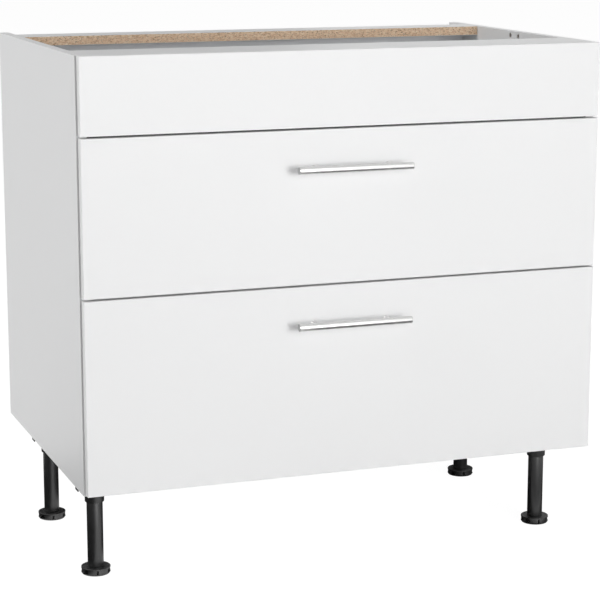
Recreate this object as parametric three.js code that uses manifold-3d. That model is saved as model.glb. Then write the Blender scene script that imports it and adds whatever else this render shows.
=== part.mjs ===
import * as THREE from 'three';
import { mergeVertices } from 'three/addons/utils/BufferGeometryUtils.js';
import Module from 'manifold-3d';

// Kitchen base cabinet: a fixed blind front over two full-extension drawers, on four levelling legs.
// Millimetres. X runs to the right, Y from the fronts back to the wall, Z up from the floor.
// Sections are drawn once, for the right-hand side, and mirrored for the left.

const wasm = await Module();
wasm.setup();

// ---- Driving dimensions ---------------------------------------------------------------------------

// Carcass of faced chipboard
const CABINET_WIDTH = 900;
const CARCASS_HEIGHT = 705;
const CARCASS_DEPTH = 565;
const LEG_HEIGHT = 165;
const PANEL_THICKNESS = 16;
const FRONT_RAIL_WIDTH = 102;
const REAR_RAIL_WIDTH = 67;
const BACK_THICKNESS = 3;
const BACK_INSET = 59;
const BACK_DROP = 2;
const GROOVE_DEPTH = 7;
const DOWEL_DIAMETER = 8;
const DOWEL_REACH = 11;
const DOWEL_END_ROOM = 1;
const DOWEL_PITCH = 32;
const FRONT_DOWEL_INSET = 60;
const REAR_DOWEL_INSET = 30;
const SPARE_HOLES_FROM_FRONT = 278;

// Fronts
const FRONT_THICKNESS = 16;
const FRONT_SETOFF = 3;
const FRONT_SIDE_REVEAL = 2;
const FRONT_GAP = 3;
const FRONT_RAISE = 3;
const FRONT_EDGE_RADIUS = 1;
const BLIND_HEIGHT = 124;
const UPPER_FRONT_HEIGHT = 253;

// Angle brackets of the blind front
const BRACKET_STEEL = 2;
const BRACKET_HEIGHT = 60;
const BRACKET_FRONT_LEAF = 38;
const BRACKET_SIDE_LEAF = 44;
const BRACKET_SLOT_LENGTH = 14;
const BRACKET_SLOT_WIDTH = 5;

// Bar handles
const BAR_DIAMETER = 12;
const BAR_LENGTH = 198;
const BAR_CHAMFER = 0.8;
const HANDLE_PROJECTION = 32;
const POST_SPACING = 128;
const POST_DIAMETER = 8;
const POST_FLANGE_DIAMETER = 10;
const POST_FLANGE_HEIGHT = 2;
const HANDLE_DROP = 62;
const HANDLE_SCREW_DIAMETER = 4;
const SCREW_HEAD_DIAMETER = 8;
const SCREW_HEAD_HEIGHT = 2.2;

// Levelling legs
const LEG_FROM_SIDE = 42;
const FRONT_LEG_INSET = 101;
const REAR_LEG_INSET = 141;
const LEG_PLATE_SIZE = 62;
const LEG_PLATE_THICKNESS = 3;
const LEG_PLATE_CORNER = 5;
const LEG_HOLE_DIAMETER = 5;
const LEG_HOLE_INSET = 8;
const LEG_ARM_OFFSET = 46;
const LEG_ARM_WIDTH = 22;
const LEG_ARM_MARGIN = 1;
const LEG_ARM_CORNER = 2;
const SOCKET_DIAMETER = 32.4;
const SOCKET_LENGTH = 41;
const SOCKET_CHAMFER = 1;
const GUSSET_HEIGHT = 24;
const GUSSET_THICKNESS = 2.5;
const GUSSET_ROOT = 1;
const TUBE_DIAMETER = 27;
const TUBE_WALL = 2;
const THREAD_BUSH_LENGTH = 33;
const STEM_DIAMETER = 16;
const STEM_LENGTH = 45;
const STEM_CHAMFER = 1;
const FOOT_DIAMETER = 49;
const FOOT_HEIGHT = 12;
const FOOT_RIM = 2.4;
const FOOT_RECESS = 0.6;
const FOOT_TAPER = 1.6;
const FOOT_SLOT_DEPTH = 8;
const FOOT_SLOT_REPEATS = 3;
const FOOT_NARROW_SLOT = { centre: -6.5, width: 7.5 };
const FOOT_WIDE_SLOT = { centre: 57.5, width: 32 };

// Drawer runners: three nested steel members a side
const RUNNER_STEEL = 1.5;
const RUNNER_SETBACK = 3;
const RUNNER_REAR_ROOM = 50;
const RUNNER_WIDTH = 24;
const RUNNER_PLAY = 0.5;
const TROUGH_HEIGHT = 7;
const TROUGH_LIP = 6;
const MIDDLE_SETBACK = 8;
const MIDDLE_REAR_STOP = 42;
const MIDDLE_HEIGHT = 16.5;
const TOP_FLANGE_WIDTH = 15;
const DRAWER_MEMBER_REAR_STOP = 20;
const DRAWER_MEMBER_LIP = 4.5;
const DRAWER_MEMBER_DEPTH = 6.5;
const RUNNER_EAR_HEIGHT = 36;
const RUNNER_WALL_HEIGHT = 12;
const RUNNER_EAR_LENGTH = 56;
const RUNNER_SCREW_HOLE = 5;
const RUNNER_RISE = 27;

// Drawer boxes
const SIDE_STEEL = 1.2;
const SIDE_STANDOFF = 3;
const SIDE_WIDTH = 18;
const SIDE_HEIGHT = 79;
const SIDE_TOP_RADIUS = 3;
const SIDE_OVERRUN = 4.6;
const SIDE_FLANGE = 17;
const SIDE_FOOT = 6;
const DRAWER_BOARD = 16;
const DRAWER_BACK_HEIGHT = 152;
const GALLERY_DIAMETER = 10;
const GALLERY_RISE = 60;
const GALLERY_CAP_DIAMETER = 14;
const GALLERY_CAP_LENGTH = 9;
const CONNECTOR_STEEL = 1.8;
const CONNECTOR_LENGTH = 44;
const CONNECTOR_HEIGHT = 56;
const CONNECTOR_TOWER = 9;
const CONNECTOR_LOWER_CORNER = 2;
const CONNECTOR_UPPER_CORNER = 5;

// Clearances
const FIT = 0.3;
const DRAWER_FRONT_CLEARANCE = 0.5;

// How far a cutting tool runs past the face it opens
const OVERCUT = 1;

const TURNED_SIDES = 24;
const FOOT_SIDES = 30;
const HOLE_SIDES = 12;

// ---- Places worked out from them ------------------------------------------------------------------

const INNER_FACE = CABINET_WIDTH / 2 - PANEL_THICKNESS;
const CARCASS_FRONT = FRONT_THICKNESS + FRONT_SETOFF;
const CARCASS_REAR = CARCASS_FRONT + CARCASS_DEPTH;
const CARCASS_TOP = LEG_HEIGHT + CARCASS_HEIGHT;
const BOTTOM_TOP = LEG_HEIGHT + PANEL_THICKNESS;
const BACK_FRONT_FACE = CARCASS_REAR - BACK_INSET - BACK_THICKNESS;
const REAR_RAIL_FRONT = BACK_FRONT_FACE - FIT - REAR_RAIL_WIDTH;
const RAIL_LOW = CARCASS_TOP - PANEL_THICKNESS;
const RAIL_AXIS_HEIGHT = CARCASS_TOP - PANEL_THICKNESS / 2;
const BOTTOM_AXIS_HEIGHT = LEG_HEIGHT + PANEL_THICKNESS / 2;

const FRONT_WIDTH = CABINET_WIDTH - 2 * FRONT_SIDE_REVEAL;
const BLIND_BOTTOM = CARCASS_TOP - BLIND_HEIGHT;
const UPPER_FRONT_BOTTOM = BLIND_BOTTOM - FRONT_GAP - UPPER_FRONT_HEIGHT;
const LOWER_FRONT_BOTTOM = LEG_HEIGHT + FRONT_RAISE;
const LOWER_FRONT_HEIGHT = UPPER_FRONT_BOTTOM - FRONT_GAP - LOWER_FRONT_BOTTOM;

const BAR_AXIS = -(HANDLE_PROJECTION - BAR_DIAMETER / 2);

const RUNNER_FRONT = CARCASS_FRONT + RUNNER_SETBACK;
const RUNNER_REAR = BACK_FRONT_FACE - RUNNER_REAR_ROOM;
const RUNNER_LENGTH = RUNNER_REAR - RUNNER_FRONT;
const MIDDLE_LENGTH = RUNNER_LENGTH - MIDDLE_SETBACK - MIDDLE_REAR_STOP;
const DRAWER_MEMBER_LENGTH = RUNNER_LENGTH - DRAWER_MEMBER_REAR_STOP;
const TROUGH_INNER_WIDTH = RUNNER_WIDTH - 2 * RUNNER_STEEL - FIT;
const MIDDLE_CENTRE = FIT + RUNNER_STEEL + TROUGH_INNER_WIDTH / 2;
const MIDDLE_BOTTOM = RUNNER_STEEL + RUNNER_PLAY;
const MIDDLE_TOP = MIDDLE_BOTTOM + MIDDLE_HEIGHT;
const DRAWER_MEMBER_TOP = MIDDLE_TOP + RUNNER_PLAY + RUNNER_STEEL;
const SIDE_BASE = DRAWER_MEMBER_TOP + FIT;
const SIDE_TOP = SIDE_BASE + SIDE_HEIGHT;
const SIDE_INNER = SIDE_STANDOFF + SIDE_WIDTH;
const SIDE_CENTRE = SIDE_STANDOFF + SIDE_WIDTH / 2;
const SIDE_FRONT = FRONT_THICKNESS + FIT + CONNECTOR_STEEL + DRAWER_FRONT_CLEARANCE;
const SIDE_REAR = RUNNER_REAR + SIDE_OVERRUN;
const SIDE_LENGTH = SIDE_REAR - SIDE_FRONT;
const BOARD_BASE = SIDE_BASE + SIDE_STEEL + FIT;
const BOARD_TOP = BOARD_BASE + DRAWER_BOARD;
const DRAWER_BACK_FACE = SIDE_REAR - DRAWER_BOARD;
const GALLERY_AXIS = SIDE_TOP + GALLERY_RISE;

// ---- Finishes -------------------------------------------------------------------------------------

function finish(color, roughness, metalness = 0) {
  return () => new THREE.MeshStandardMaterial({ color, roughness, metalness });
}
const WHITE_BOARD = finish(0xf2f2f0, 0.45);
const FRONT_BOARD = finish(0xf4f4f3, 0.35);
const BACK_BOARD = finish(0xe9e9e6, 0.6);
const ZINC_STEEL = finish(0xb4b7b9, 0.4, 0.9);
const GREY_STEEL = finish(0xc3c5c7, 0.45, 0.3);
const BRUSHED_STEEL = finish(0xcacaca, 0.3, 1);
const BLACK_PLASTIC = finish(0x1b1b1c, 0.5);

// ---- Shaping --------------------------------------------------------------------------------------

// Solid of a closed geometry whose faces share their corners.
function solid(geometry) {
  const bare = geometry.clone();
  bare.deleteAttribute('normal');
  bare.deleteAttribute('uv');
  const merged = mergeVertices(bare, 1e-4);
  const triVerts = new Uint32Array(merged.index.array);
  return new wasm.Manifold(new wasm.Mesh({
    numProp: 3,
    vertProperties: merged.attributes.position.array,
    triVerts,
  }));
}

function geometryOf(made) {
  const { vertProperties, triVerts } = made.getMesh();
  const geometry = new THREE.BufferGeometry();
  geometry.setAttribute('position', new THREE.BufferAttribute(vertProperties, 3));
  geometry.setIndex(new THREE.BufferAttribute(triVerts, 1));
  geometry.computeVertexNormals();
  return geometry;
}

function cut(body, tools) {
  return geometryOf(tools.reduce((rest, tool) => rest.subtract(solid(tool)), solid(body)));
}

function join(pieces) {
  return geometryOf(pieces.slice(1).reduce((whole, piece) => whole.add(solid(piece)), solid(pieces[0])));
}

// Box between two corners.
function block([x0, y0, z0], [x1, y1, z1]) {
  return new THREE.BoxGeometry(x1 - x0, y1 - y0, z1 - z0)
    .translate((x0 + x1) / 2, (y0 + y1) / 2, (z0 + z1) / 2);
}

// Closed outline through [x, y] points; a third value rounds that corner.
function outline(points) {
  const shape = new THREE.Shape();
  const corner = (i) => new THREE.Vector2(...points[(i + points.length) % points.length]);
  points.forEach(([x, y, radius = 0], i) => {
    const here = new THREE.Vector2(x, y);
    const arrive = corner(i - 1).sub(here).setLength(radius).add(here);
    const leave = corner(i + 1).sub(here).setLength(radius).add(here);
    if (i === 0) {
      shape.moveTo(arrive.x, arrive.y);
    } else {
      shape.lineTo(arrive.x, arrive.y);
    }
    if (radius > 0) {
      shape.quadraticCurveTo(x, y, leave.x, leave.y);
    }
  });
  shape.closePath();
  return shape;
}

function extrude(shape, depth) {
  return new THREE.ExtrudeGeometry(shape, { depth, bevelEnabled: false, curveSegments: 4 });
}

// Outline in X and Z, drawn back from y by length.
function alongY(shape, y, length) {
  return extrude(shape, length).rotateX(Math.PI / 2).translate(0, y + length, 0);
}

// Outline in X and Y, drawn up from z by height.
function alongZ(shape, z, height) {
  return extrude(shape, height).translate(0, 0, z);
}

// Profile of [radius, height] points turned round the Z axis.
function turned(points, sides = TURNED_SIDES) {
  const profile = points.map(([radius, height]) => new THREE.Vector2(radius, height));
  return new THREE.LatheGeometry(profile, sides).rotateX(Math.PI / 2);
}

// Cylinder between two heights, turned round the Z axis.
function rod(diameter, from, to, sides = HOLE_SIDES) {
  return turned([[0, from], [diameter / 2, from], [diameter / 2, to], [0, to]], sides);
}

const lieAlongX = (geometry) => geometry.rotateY(Math.PI / 2);
const lieAlongY = (geometry) => geometry.rotateX(-Math.PI / 2);

// Drilling or dowel along X, from the inner face of the right side panel outwards (to > 0) or inwards.
function crossRod(diameter, from, to, y, z) {
  return lieAlongX(rod(diameter, from, to)).translate(INNER_FACE, y, z);
}

// ---- Assembly tree --------------------------------------------------------------------------------

const cabinet = new THREE.Group();
cabinet.position.y = -(CARCASS_REAR - HANDLE_PROJECTION) / 2;
const leftHand = new THREE.Group();
leftHand.scale.x = -1;
cabinet.add(leftHand);

function place(name, geometry, material, parent = cabinet) {
  const mesh = new THREE.Mesh(geometry, material());
  mesh.name = name;
  parent.add(mesh);
  return mesh;
}

// One right-hand piece and its mirrored twin.
function placePair(name, geometry, material) {
  place(`${name}_right`, geometry, material);
  place(`${name}_left`, geometry, material, leftHand);
}

// ---- Carcass --------------------------------------------------------------------------------------

const railDowelPlaces = (centre) => [centre - DOWEL_PITCH / 2, centre + DOWEL_PITCH / 2];
const frontRailDowels = railDowelPlaces(CARCASS_FRONT + FRONT_RAIL_WIDTH / 2);
const rearRailDowels = railDowelPlaces(REAR_RAIL_FRONT + REAR_RAIL_WIDTH / 2);
const spareHoles = railDowelPlaces(CARCASS_FRONT + SPARE_HOLES_FROM_FRONT);
const bottomDowels = [
  CARCASS_FRONT + FRONT_DOWEL_INSET,
  CARCASS_FRONT + CARCASS_DEPTH / 2,
  CARCASS_REAR - REAR_DOWEL_INSET,
];

// Side panel: grooved for the back, drilled for the dowels of the rails and the bottom,
// with a spare pair of drillings between the rails.
function sidePanel() {
  const outerFace = CABINET_WIDTH / 2;
  const board = block([INNER_FACE, CARCASS_FRONT, LEG_HEIGHT], [outerFace, CARCASS_REAR, CARCASS_TOP]);
  const groove = block(
    [INNER_FACE - OVERCUT, BACK_FRONT_FACE - FIT, LEG_HEIGHT - OVERCUT],
    [INNER_FACE + GROOVE_DEPTH, BACK_FRONT_FACE + BACK_THICKNESS + FIT, CARCASS_TOP + OVERCUT],
  );
  const drill = (y, z) => crossRod(DOWEL_DIAMETER + 2 * FIT, -OVERCUT, DOWEL_REACH + DOWEL_END_ROOM, y, z);
  const railHoles = [...frontRailDowels, ...rearRailDowels, ...spareHoles]
    .map((y) => drill(y, RAIL_AXIS_HEIGHT));
  const bottomHoles = bottomDowels.map((y) => drill(y, BOTTOM_AXIS_HEIGHT));
  return cut(board, [groove, ...railHoles, ...bottomHoles]);
}

// Board between the side panels with its dowels glued into both ends.
function dowelledBoard(y0, y1, z0, places) {
  const half = INNER_FACE - FIT;
  const board = block([-half, y0, z0], [half, y1, z0 + PANEL_THICKNESS]);
  const dowels = places.map((y) => {
    const height = z0 + PANEL_THICKNESS / 2;
    const reach = INNER_FACE + DOWEL_REACH;
    return lieAlongX(rod(DOWEL_DIAMETER, -reach, reach)).translate(0, y, height);
  });
  return join([board, ...dowels]);
}

function bottomPanel() {
  const board = dowelledBoard(CARCASS_FRONT, CARCASS_REAR, LEG_HEIGHT, bottomDowels);
  const groove = block(
    [-INNER_FACE - OVERCUT, BACK_FRONT_FACE - FIT, BOTTOM_TOP - GROOVE_DEPTH],
    [INNER_FACE + OVERCUT, BACK_FRONT_FACE + BACK_THICKNESS + FIT, BOTTOM_TOP + OVERCUT],
  );
  return cut(board, [groove]);
}

// Thin back, held in the grooves of the sides and the bottom.
function backPanel() {
  const half = INNER_FACE + GROOVE_DEPTH - FIT;
  return block(
    [-half, BACK_FRONT_FACE, BOTTOM_TOP - GROOVE_DEPTH + FIT],
    [half, BACK_FRONT_FACE + BACK_THICKNESS, CARCASS_TOP - BACK_DROP],
  );
}

// ---- Fronts ---------------------------------------------------------------------------------------

// Front board with its banded edges eased to a small radius.
function frontBoard(bottom, height) {
  const half = FRONT_WIDTH / 2 - FRONT_EDGE_RADIUS;
  const low = bottom + FRONT_EDGE_RADIUS;
  const high = bottom + height - FRONT_EDGE_RADIUS;
  const shape = outline([[-half, low], [half, low], [half, high], [-half, high]]);
  return new THREE.ExtrudeGeometry(shape, {
    depth: FRONT_THICKNESS - 2 * FRONT_EDGE_RADIUS,
    bevelThickness: FRONT_EDGE_RADIUS,
    bevelSize: FRONT_EDGE_RADIUS,
    bevelSegments: 2,
  }).rotateX(Math.PI / 2).translate(0, FRONT_THICKNESS - FRONT_EDGE_RADIUS, 0);
}

// Drawer front, bored for the two handle screws.
function drawerFront(bottom, height) {
  const bores = [-1, 1].map((side) =>
    lieAlongY(rod(HANDLE_SCREW_DIAMETER + 2 * FIT, -OVERCUT, FRONT_THICKNESS + OVERCUT))
      .translate(side * POST_SPACING / 2, 0, bottom + height - HANDLE_DROP));
  return cut(frontBoard(bottom, height), bores);
}

// Slotted hole through a leaf, long in Z, lying across X (leaf faces X) or Y (leaf faces Y).
function slotTool(acrossX) {
  const run = (BRACKET_SLOT_LENGTH - BRACKET_SLOT_WIDTH) / 2;
  const radius = BRACKET_SLOT_WIDTH / 2;
  const shape = new THREE.Shape();
  shape.absarc(0, run, radius, 0, Math.PI, false);
  shape.absarc(0, -run, radius, Math.PI, 2 * Math.PI, false);
  const reach = BRACKET_STEEL + OVERCUT;
  const tool = alongY(shape, -reach, 2 * reach);
  return acrossX ? tool.rotateZ(Math.PI / 2) : tool;
}

// Folded steel angle that carries the blind front on the side panel.
function blindBracket() {
  const wall = INNER_FACE - FIT;
  const face = FRONT_THICKNESS + FIT;
  const low = BLIND_BOTTOM + (BLIND_HEIGHT - PANEL_THICKNESS - BRACKET_HEIGHT) / 2;
  const shape = outline([
    [wall - BRACKET_FRONT_LEAF, face],
    [wall, face, BRACKET_STEEL],
    [wall, face + BRACKET_SIDE_LEAF],
    [wall - BRACKET_STEEL, face + BRACKET_SIDE_LEAF],
    [wall - BRACKET_STEEL, face + BRACKET_STEEL],
    [wall - BRACKET_FRONT_LEAF, face + BRACKET_STEEL],
  ]);
  const rows = [low + BRACKET_HEIGHT / 4, low + 3 * BRACKET_HEIGHT / 4];
  const slots = rows.flatMap((z) => [
    slotTool(false).translate(wall - (BRACKET_FRONT_LEAF + BRACKET_STEEL) / 2, face, z),
    slotTool(true).translate(wall, CARCASS_FRONT + (BRACKET_SIDE_LEAF - FRONT_SETOFF) / 2, z),
  ]);
  return cut(alongZ(shape, low, BRACKET_HEIGHT), slots);
}

// ---- Handles --------------------------------------------------------------------------------------

function handleBar(z) {
  const end = BAR_LENGTH / 2;
  const radius = BAR_DIAMETER / 2;
  const bar = turned([
    [0, -end],
    [radius - BAR_CHAMFER, -end],
    [radius, -end + BAR_CHAMFER],
    [radius, end - BAR_CHAMFER],
    [radius - BAR_CHAMFER, end],
    [0, end],
  ]);
  return lieAlongX(bar).translate(0, BAR_AXIS, z);
}

// Turned post, saddled to the bar, with its screw through the front and the screw's head behind it.
function handlePost(z) {
  const head = FRONT_THICKNESS + FIT;
  const post = lieAlongY(turned([
    [0, BAR_AXIS],
    [POST_DIAMETER / 2, BAR_AXIS],
    [POST_DIAMETER / 2, -FIT - POST_FLANGE_HEIGHT],
    [POST_FLANGE_DIAMETER / 2, -FIT - POST_FLANGE_HEIGHT / 2],
    [POST_FLANGE_DIAMETER / 2, -FIT],
    [HANDLE_SCREW_DIAMETER / 2, -FIT],
    [HANDLE_SCREW_DIAMETER / 2, head],
    [SCREW_HEAD_DIAMETER / 2, head],
    [SCREW_HEAD_DIAMETER / 2, head + SCREW_HEAD_HEIGHT / 2],
    [SCREW_HEAD_DIAMETER / 4, head + SCREW_HEAD_HEIGHT],
    [0, head + SCREW_HEAD_HEIGHT],
  ], HOLE_SIDES)).translate(POST_SPACING / 2, 0, z);
  const saddle = lieAlongX(rod(BAR_DIAMETER + 2 * FIT, 0, POST_SPACING, TURNED_SIDES))
    .translate(0, BAR_AXIS, z);
  return cut(post, [saddle]);
}

// ---- Legs -----------------------------------------------------------------------------------------

// Socket: screw plate with an arm under the side panel, four gussets and the cup that takes the tube.
// Drawn with the leg's axis at X = 0, Y = 0 and the side panel on the +X side.
function legSocket() {
  const top = LEG_HEIGHT - FIT;
  const underPlate = top - LEG_PLATE_THICKNESS;
  const half = LEG_PLATE_SIZE / 2;
  const reach = LEG_FROM_SIDE - LEG_ARM_MARGIN;
  const armRear = -LEG_ARM_OFFSET + LEG_ARM_WIDTH / 2;
  const armFront = -LEG_ARM_OFFSET - LEG_ARM_WIDTH / 2;
  const plate = alongZ(outline([
    [-half, -half, LEG_PLATE_CORNER],
    [half / 2, -half],
    [reach - LEG_ARM_WIDTH / 2, armFront, 2 * LEG_ARM_CORNER],
    [reach, armFront, LEG_ARM_CORNER],
    [reach, armRear, LEG_ARM_CORNER],
    [half, armRear / 2],
    [half, half, LEG_PLATE_CORNER],
    [-half, half, LEG_PLATE_CORNER],
  ]), underPlate, LEG_PLATE_THICKNESS);
  const radius = SOCKET_DIAMETER / 2;
  const bore = TUBE_DIAMETER / 2 + FIT;
  const mouth = LEG_HEIGHT - SOCKET_LENGTH;
  const cup = turned([
    [bore, mouth],
    [radius - SOCKET_CHAMFER, mouth],
    [radius, mouth + SOCKET_CHAMFER],
    [radius, underPlate + LEG_PLATE_THICKNESS / 2],
    [bore, underPlate + LEG_PLATE_THICKNESS / 2],
    [bore, mouth],
  ]);
  const gusset = (turn) => {
    const shape = outline([
      [radius - GUSSET_ROOT, underPlate + LEG_PLATE_THICKNESS / 2],
      [radius - GUSSET_ROOT, underPlate - GUSSET_HEIGHT],
      [half, underPlate],
      [half, underPlate + LEG_PLATE_THICKNESS / 2],
    ]);
    return alongY(shape, -GUSSET_THICKNESS / 2, GUSSET_THICKNESS).rotateZ(turn * Math.PI / 2);
  };
  const holeOffset = half - LEG_HOLE_INSET;
  const holes = [-1, 1].flatMap((sx) => [-1, 1].map((sy) =>
    rod(LEG_HOLE_DIAMETER, underPlate - OVERCUT, top + OVERCUT)
      .translate(sx * holeOffset, sy * holeOffset, 0)));
  return cut(join([plate, cup, ...[0, 1, 2, 3].map(gusset)]), holes);
}

// Tube: plain outside, with the threaded bush for the foot moulded into its lower end.
function legTube() {
  const radius = TUBE_DIAMETER / 2;
  const bush = STEM_DIAMETER / 2 + FIT;
  const low = FOOT_HEIGHT + FIT;
  const high = LEG_HEIGHT - FIT - LEG_PLATE_THICKNESS - FIT;
  return turned([
    [bush, low],
    [radius, low],
    [radius, high],
    [radius - TUBE_WALL, high],
    [radius - TUBE_WALL, low + THREAD_BUSH_LENGTH],
    [bush, low + THREAD_BUSH_LENGTH],
    [bush, low],
  ]);
}

// Sector of a ring, between two angles counted from -Y towards +X in degrees.
function slotSector({ centre, width }, inner, outer, z0, z1) {
  const start = THREE.MathUtils.degToRad(centre - width / 2 - 90);
  const end = THREE.MathUtils.degToRad(centre + width / 2 - 90);
  const shape = new THREE.Shape();
  shape.absarc(0, 0, outer, start, end, false);
  shape.absarc(0, 0, inner, end, start, true);
  return alongZ(shape, z0, z1 - z0);
}

// Foot: rimmed disc with spanner slots round its waist, and the stem that screws into the tube.
function foot() {
  const rim = FOOT_DIAMETER / 2;
  const waist = rim - FOOT_RECESS;
  const disc = turned([
    [0, 0],
    [rim - FOOT_TAPER, 0],
    [rim, FOOT_RIM],
    [waist, FOOT_RIM],
    [waist, FOOT_HEIGHT - FOOT_RIM],
    [rim, FOOT_HEIGHT - FOOT_RIM],
    [rim, FOOT_HEIGHT],
    [STEM_DIAMETER / 2, FOOT_HEIGHT],
    [STEM_DIAMETER / 2, FOOT_HEIGHT + STEM_LENGTH - STEM_CHAMFER],
    [STEM_DIAMETER / 2 - STEM_CHAMFER, FOOT_HEIGHT + STEM_LENGTH],
    [0, FOOT_HEIGHT + STEM_LENGTH],
  ], FOOT_SIDES);
  const slots = [];
  for (let i = 0; i < FOOT_SLOT_REPEATS; i += 1) {
    for (const slot of [FOOT_NARROW_SLOT, FOOT_WIDE_SLOT]) {
      const turn = { centre: slot.centre + i * 360 / FOOT_SLOT_REPEATS, width: slot.width };
      slots.push(slotSector(turn, rim - FOOT_SLOT_DEPTH, rim + OVERCUT, FOOT_RIM, FOOT_HEIGHT - FOOT_RIM));
    }
  }
  return cut(disc, slots);
}

// ---- Drawer runners -------------------------------------------------------------------------------

// Section in [distance inwards from the side panel, height above the runner's underside].
function section(points, base) {
  return outline(points.map(([inward, up, ...radius]) => [INNER_FACE - inward, base + up, ...radius]));
}

// Cabinet member: a trough with a hooked lip, and a wall with three screw ears on the side panel.
function cabinetMember(base) {
  const t = RUNNER_STEEL;
  const trough = alongY(section([
    [FIT, 0],
    [RUNNER_WIDTH, 0],
    [RUNNER_WIDTH, TROUGH_HEIGHT],
    [RUNNER_WIDTH - TROUGH_LIP, TROUGH_HEIGHT],
    [RUNNER_WIDTH - TROUGH_LIP, TROUGH_HEIGHT - t],
    [RUNNER_WIDTH - t, TROUGH_HEIGHT - t],
    [RUNNER_WIDTH - t, t],
    [FIT + t, t],
    [FIT + t, RUNNER_EAR_HEIGHT],
    [FIT, RUNNER_EAR_HEIGHT],
  ], base), RUNNER_FRONT, RUNNER_LENGTH);
  const ears = [0, (RUNNER_LENGTH - RUNNER_EAR_LENGTH) / 2, RUNNER_LENGTH - RUNNER_EAR_LENGTH];
  const gaps = ears.slice(1).map((start, i) => block(
    [INNER_FACE - 2 * t, RUNNER_FRONT + ears[i] + RUNNER_EAR_LENGTH, base + RUNNER_WALL_HEIGHT],
    [INNER_FACE + OVERCUT, RUNNER_FRONT + start, base + RUNNER_EAR_HEIGHT + OVERCUT],
  ));
  const holeHeight = (RUNNER_WALL_HEIGHT + RUNNER_EAR_HEIGHT) / 2;
  const holes = ears.map((start) => crossRod(
    RUNNER_SCREW_HOLE, -FIT - 2 * t, FIT, RUNNER_FRONT + start + RUNNER_EAR_LENGTH / 2, base + holeHeight,
  ));
  return cut(trough, [...gaps, ...holes]);
}

// Middle member: rolls in the trough on its foot flange and carries the drawer member on its head.
function middleMember(base) {
  const t = RUNNER_STEEL;
  const footHalf = TROUGH_INNER_WIDTH / 2 - RUNNER_PLAY;
  const head = TOP_FLANGE_WIDTH / 2;
  const c = MIDDLE_CENTRE;
  return alongY(section([
    [c - footHalf, MIDDLE_BOTTOM],
    [c + footHalf, MIDDLE_BOTTOM],
    [c + footHalf, MIDDLE_BOTTOM + t],
    [c + t / 2, MIDDLE_BOTTOM + t],
    [c + t / 2, MIDDLE_TOP - t],
    [c + head, MIDDLE_TOP - t],
    [c + head, MIDDLE_TOP],
    [c - head, MIDDLE_TOP],
    [c - head, MIDDLE_TOP - t],
    [c - t / 2, MIDDLE_TOP - t],
    [c - t / 2, MIDDLE_BOTTOM + t],
    [c - footHalf, MIDDLE_BOTTOM + t],
  ], base), RUNNER_FRONT + MIDDLE_SETBACK, MIDDLE_LENGTH);
}

// Drawer member: a lipped channel that hooks round the head of the middle member.
function drawerMember(base) {
  const t = RUNNER_STEEL;
  const inner = TOP_FLANGE_WIDTH / 2 + RUNNER_PLAY;
  const outer = inner + t;
  const lip = inner - DRAWER_MEMBER_LIP;
  const low = DRAWER_MEMBER_TOP - DRAWER_MEMBER_DEPTH;
  const c = MIDDLE_CENTRE;
  return alongY(section([
    [c - outer, DRAWER_MEMBER_TOP, t],
    [c - outer, low],
    [c - lip, low],
    [c - lip, low + t],
    [c - inner, low + t],
    [c - inner, DRAWER_MEMBER_TOP - t],
    [c + inner, DRAWER_MEMBER_TOP - t],
    [c + inner, low + t],
    [c + lip, low + t],
    [c + lip, low],
    [c + outer, low],
    [c + outer, DRAWER_MEMBER_TOP, t],
  ], base), RUNNER_FRONT, DRAWER_MEMBER_LENGTH);
}

// ---- Drawer box -----------------------------------------------------------------------------------

// Double-walled steel side, folded from one sheet: it stands on the drawer member and its
// inner flange carries the bottom board.
function boxSide(base) {
  const t = SIDE_STEEL;
  const r = SIDE_TOP_RADIUS;
  return alongY(section([
    [SIDE_STANDOFF + SIDE_FOOT, SIDE_BASE],
    [SIDE_STANDOFF, SIDE_BASE],
    [SIDE_STANDOFF, SIDE_TOP, r],
    [SIDE_INNER, SIDE_TOP, r],
    [SIDE_INNER, SIDE_BASE + t],
    [SIDE_INNER + SIDE_FLANGE, SIDE_BASE + t],
    [SIDE_INNER + SIDE_FLANGE, SIDE_BASE],
    [SIDE_INNER - t, SIDE_BASE],
    [SIDE_INNER - t, SIDE_TOP - t, r - t],
    [SIDE_STANDOFF + t, SIDE_TOP - t, r - t],
    [SIDE_STANDOFF + t, SIDE_BASE + t],
    [SIDE_STANDOFF + SIDE_FOOT, SIDE_BASE + t],
  ], base), SIDE_FRONT, SIDE_LENGTH);
}

function boxBottom(base) {
  const half = INNER_FACE - SIDE_INNER - FIT;
  return block([-half, SIDE_FRONT, base + BOARD_BASE], [half, SIDE_REAR, base + BOARD_TOP]);
}

// Back board: between the sides below, out over their tops above, where the gallery rails end.
function boxBack(base) {
  const low = base + BOARD_TOP + FIT;
  const shoulder = base + SIDE_TOP + FIT;
  const high = low + DRAWER_BACK_HEIGHT;
  const narrow = INNER_FACE - SIDE_INNER - FIT;
  const wide = INNER_FACE - SIDE_STANDOFF - SIDE_STEEL;
  return alongY(outline([
    [-narrow, low],
    [narrow, low],
    [narrow, shoulder],
    [wide, shoulder],
    [wide, high],
    [-wide, high],
    [-wide, shoulder],
    [-narrow, shoulder],
  ]), DRAWER_BACK_FACE, DRAWER_BOARD);
}

// Gallery rail: round rod with a clip cap where it meets the back board.
function galleryRail(base) {
  const start = SIDE_FRONT + FIT;
  const end = DRAWER_BACK_FACE - FIT;
  return lieAlongY(turned([
    [0, start],
    [GALLERY_DIAMETER / 2, start],
    [GALLERY_DIAMETER / 2, end - GALLERY_CAP_LENGTH],
    [GALLERY_CAP_DIAMETER / 2, end - GALLERY_CAP_LENGTH],
    [GALLERY_CAP_DIAMETER / 2, end],
    [0, end],
  ], HOLE_SIDES)).translate(INNER_FACE - SIDE_CENTRE, 0, base + GALLERY_AXIS);
}

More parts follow.
